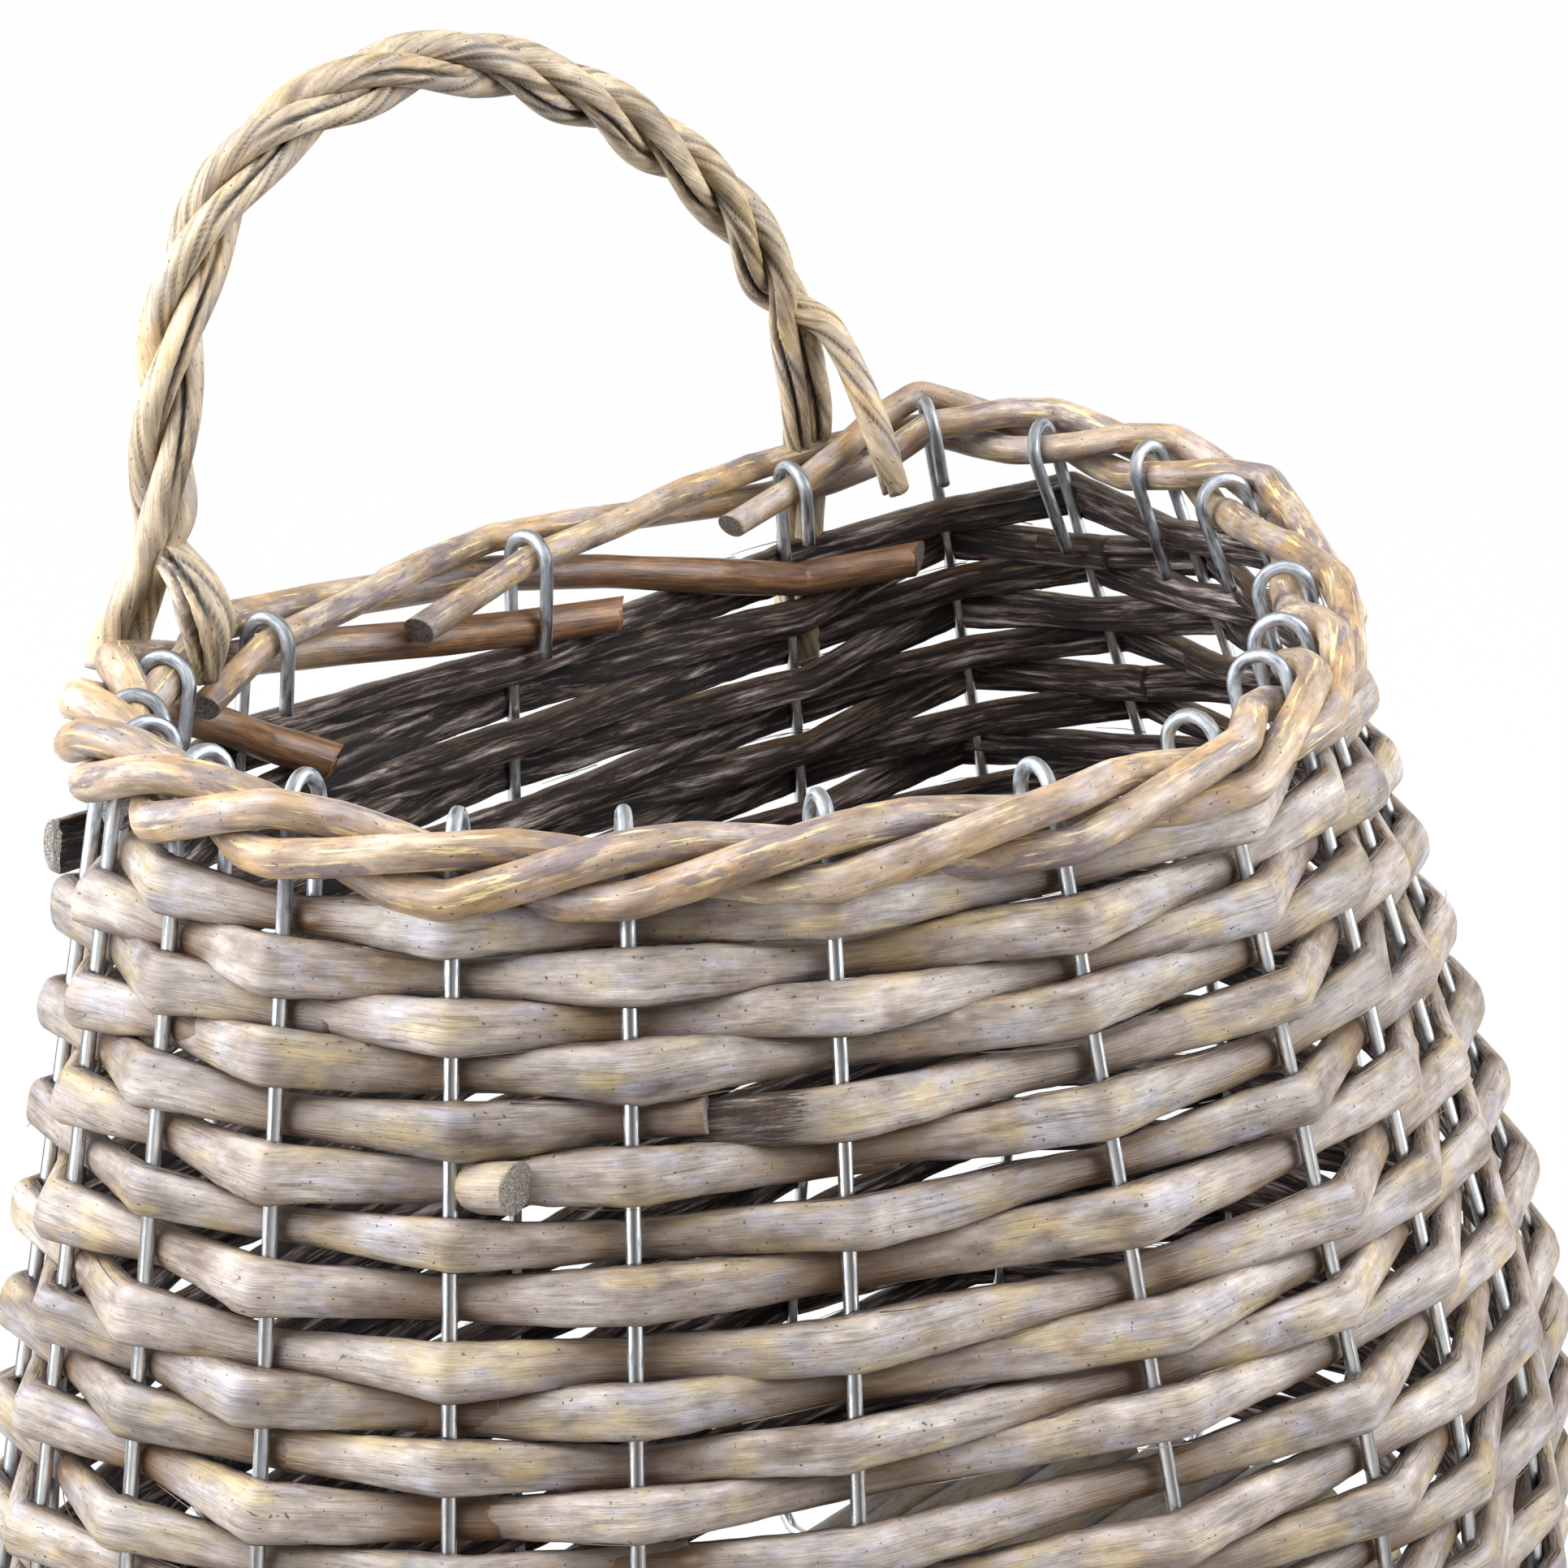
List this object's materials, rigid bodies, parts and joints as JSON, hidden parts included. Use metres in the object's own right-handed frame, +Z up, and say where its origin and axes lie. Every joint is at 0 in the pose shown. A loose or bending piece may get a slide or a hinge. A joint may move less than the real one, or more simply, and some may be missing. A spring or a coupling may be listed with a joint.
{
  "type": "wall basket",
  "caption": "D-shaped wall basket of split willow woven on steel wire stakes, with a waled willow border and a twisted willow hanging handle.",
  "frame": {"origin": "centre of the bounding box at the level it stands on", "axes": "+Z up, +Y towards the wall behind the flat back, +X along the back to the right as seen from the front"},
  "size_m": [0.3552, 0.2262, 0.3399],
  "materials": {
    "stake_wire": "galvanised steel wire, dull with a few bright streaks",
    "split_willow": "grey-washed split willow, smooth outside and dark rough inside",
    "border_willow": "peeled whole willow rod, warm buff with grey and yellow blotches, satin",
    "handle_willow": "peeled whole willow rod, pale straw with long dark splits",
    "base_willow": "split willow, grey-washed, matt"
  },
  "bodies": {
    "root": {"wire_stake_01": "stake_wire", "wire_stake_02": "stake_wire", "wire_stake_03": "stake_wire", "wire_stake_04": "stake_wire", "wire_stake_05": "stake_wire", "wire_stake_06": "stake_wire", "wire_stake_07": "stake_wire", "wire_stake_08": "stake_wire", "wire_stake_09": "stake_wire", "wire_stake_10": "stake_wire", "wire_stake_11": "stake_wire", "wire_stake_12": "stake_wire", "wire_stake_13": "stake_wire", "wire_stake_14": "stake_wire", "wire_stake_15": "stake_wire", "wire_stake_16": "stake_wire", "wire_stake_17": "stake_wire", "wire_stake_18": "stake_wire", "wire_stake_19": "stake_wire", "wire_stake_20": "stake_wire", "weaver_row_01": "split_willow", "weaver_row_02": "split_willow", "weaver_row_03": "split_willow", "weaver_row_04": "split_willow", "weaver_row_05": "split_willow", "weaver_row_06": "split_willow", "weaver_row_07": "split_willow", "weaver_row_08": "split_willow", "weaver_row_09": "split_willow", "weaver_row_10": "split_willow", "weaver_row_11": "split_willow", "weaver_row_12": "split_willow", "weaver_row_13": "split_willow", "weaver_row_14": "split_willow", "weaver_row_15": "split_willow", "weaver_row_16": "split_willow", "weaver_row_17": "split_willow", "weaver_row_18": "split_willow", "weaver_row_19": "split_willow", "weaver_row_20": "split_willow", "weaver_row_21": "split_willow", "weaver_row_22": "split_willow", "weaver_row_23": "split_willow", "weaver_row_24": "split_willow", "weaver_row_25": "split_willow", "weaver_row_26": "split_willow", "weaver_row_27": "split_willow", "weaver_row_28": "split_willow", "border_rod_1": "border_willow", "border_rod_2": "border_willow", "border_rod_3": "border_willow", "handle_strand_1": "handle_willow", "handle_strand_2": "handle_willow", "handle_strand_3": "handle_willow", "base_mat": "base_willow"}
  },
  "joints": []
}
